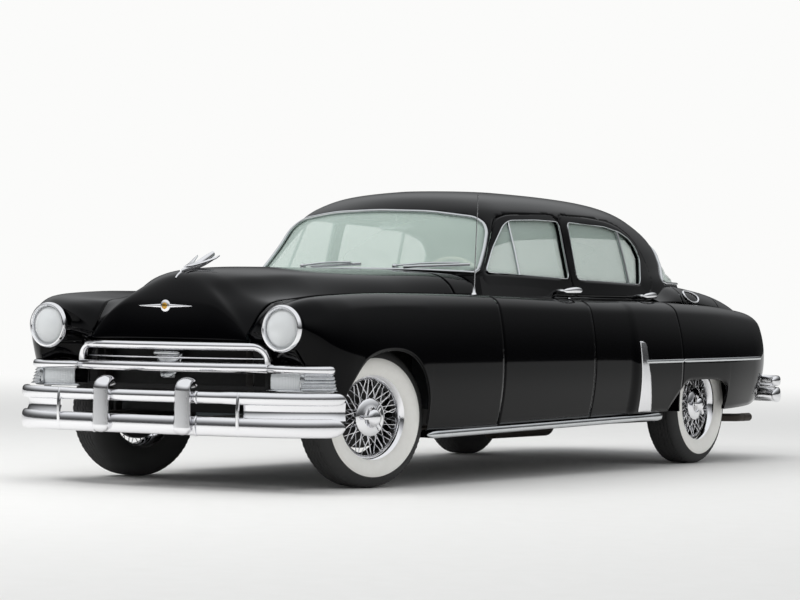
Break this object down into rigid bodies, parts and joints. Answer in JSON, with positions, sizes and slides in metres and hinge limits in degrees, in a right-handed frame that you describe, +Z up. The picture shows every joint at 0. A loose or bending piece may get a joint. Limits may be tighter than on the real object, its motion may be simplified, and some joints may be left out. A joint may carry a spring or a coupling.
{
  "type": "four-door saloon car",
  "caption": "Large early 1950s four-door saloon with a chrome front, wire wheels, opening doors, hood and trunk lid, and front wheels that steer.",
  "frame": {"origin": "on the ground, under the middle of the car's overall length and width", "axes": "+Z up, -Y towards the front, +X to the car's left"},
  "size_m": [1.9538, 5.563, 1.536],
  "materials": {
    "paint_black": "gloss",
    "chassis_black": "satin",
    "chrome": "polished",
    "tyre_rubber": "matt black tread and inner wall, white outer wall",
    "green_glass": "green-tinted, clear",
    "lamp_glass": "clear, fluted",
    "lamp_red": "gloss red",
    "engine_iron": "satin",
    "steel": "satin",
    "radiator_black": "matt black",
    "seat_cloth": "soft, woven",
    "dash_paint": "semi-gloss",
    "wheel_plastic": "gloss",
    "floor_paint": "satin"
  },
  "bodies": {
    "car": {"cabin_sides": "paint_black", "chassis": "chassis_black", "cowl": "paint_black", "dashboard": "dash_paint", "deck_panel": "paint_black", "engine": "engine_iron", "exhaust": "steel", "fixed_glass": "green_glass", "floor": "floor_paint", "front_bumper": "chrome", "front_fenders": "paint_black", "front_lamps": "chrome", "front_suspension": "chassis_black", "fuel_tank": "chassis_black", "grille": "chrome", "grille_shell": "paint_black", "headlamp_lenses": "lamp_glass", "radiator": "radiator_black", "rear_axle": "chassis_black", "rear_bumper": "chrome", "rear_quarters": "paint_black", "roof": "paint_black", "seats": "seat_cloth", "steering_wheel": "wheel_plastic", "tail_lamps": "lamp_red"},
    "knuckle_left": {"knuckle_left": "steel"},
    "knuckle_right": {"knuckle_right": "steel"},
    "wheel_front_left": {"wheel_front_left": "chrome", "tyre_front_left": "tyre_rubber"},
    "wheel_front_right": {"wheel_front_right": "chrome", "tyre_front_right": "tyre_rubber"},
    "wheel_rear_left": {"wheel_rear_left": "chrome", "tyre_rear_left": "tyre_rubber"},
    "wheel_rear_right": {"wheel_rear_right": "chrome", "tyre_rear_right": "tyre_rubber"},
    "door_front_left": {"door_front_left": "paint_black", "glass_front_left": "green_glass"},
    "door_front_right": {"door_front_right": "paint_black", "glass_front_right": "green_glass"},
    "door_rear_left": {"door_rear_left": "paint_black", "glass_rear_left": "green_glass"},
    "door_rear_right": {"door_rear_right": "paint_black", "glass_rear_right": "green_glass"},
    "hood": {"hood": "paint_black"},
    "trunk_lid": {"trunk_lid": "paint_black"}
  },
  "joints": [
    {"name": "steer_left", "type": "hinge", "parent": "car", "child": "knuckle_left", "pos_m": [0.64, -1.8925, 0.347], "axis": [0, 0, 1], "range_deg": [-8, 40]},
    {"name": "spin_front_left", "type": "hinge", "parent": "knuckle_left", "child": "wheel_front_left", "pos_m": [0.7169, -1.91455, 0.347], "axis": [0.9613, -0.2756, 0], "continuous": true},
    {"name": "spin_rear_left", "type": "hinge", "parent": "car", "child": "wheel_rear_left", "pos_m": [0.757, 1.4985, 0.347], "axis": [1, 0, 0], "continuous": true},
    {"name": "door_front_left_swing", "type": "hinge", "parent": "car", "child": "door_front_left", "pos_m": [0.968, -0.9255, 0.65], "axis": [0, 0, -1], "range_deg": [0, 65]},
    {"name": "door_rear_left_swing", "type": "hinge", "parent": "car", "child": "door_rear_left", "pos_m": [0.968, 0.0575, 0.65], "axis": [0, 0, -1], "range_deg": [0, 65]},
    {"name": "steer_right", "type": "hinge", "parent": "car", "child": "knuckle_right", "pos_m": [-0.64, -1.8925, 0.347], "axis": [0, 0, 1], "range_deg": [-8, 40]},
    {"name": "spin_front_right", "type": "hinge", "parent": "knuckle_right", "child": "wheel_front_right", "pos_m": [-0.7169, -1.87045, 0.347], "axis": [0.9613, -0.2756, 0], "continuous": true},
    {"name": "spin_rear_right", "type": "hinge", "parent": "car", "child": "wheel_rear_right", "pos_m": [-0.757, 1.4985, 0.347], "axis": [1, 0, 0], "continuous": true},
    {"name": "door_front_right_swing", "type": "hinge", "parent": "car", "child": "door_front_right", "pos_m": [-0.968, -0.9255, 0.65], "axis": [0, 0, 1], "range_deg": [0, 65]},
    {"name": "door_rear_right_swing", "type": "hinge", "parent": "car", "child": "door_rear_right", "pos_m": [-0.968, 0.0575, 0.65], "axis": [0, 0, 1], "range_deg": [0, 65]},
    {"name": "hood_lift", "type": "hinge", "parent": "car", "child": "hood", "pos_m": [0, -1.0085, 1.097], "axis": [-1, 0, 0], "range_deg": [0, 48]},
    {"name": "trunk_lift", "type": "hinge", "parent": "car", "child": "trunk_lid", "pos_m": [0, 1.9425, 1.036], "axis": [1, 0, 0], "range_deg": [0, 60]}
  ],
  "couplings": [
    {"joint": "steer_right", "follows": "steer_left", "ratio": 1}
  ]
}
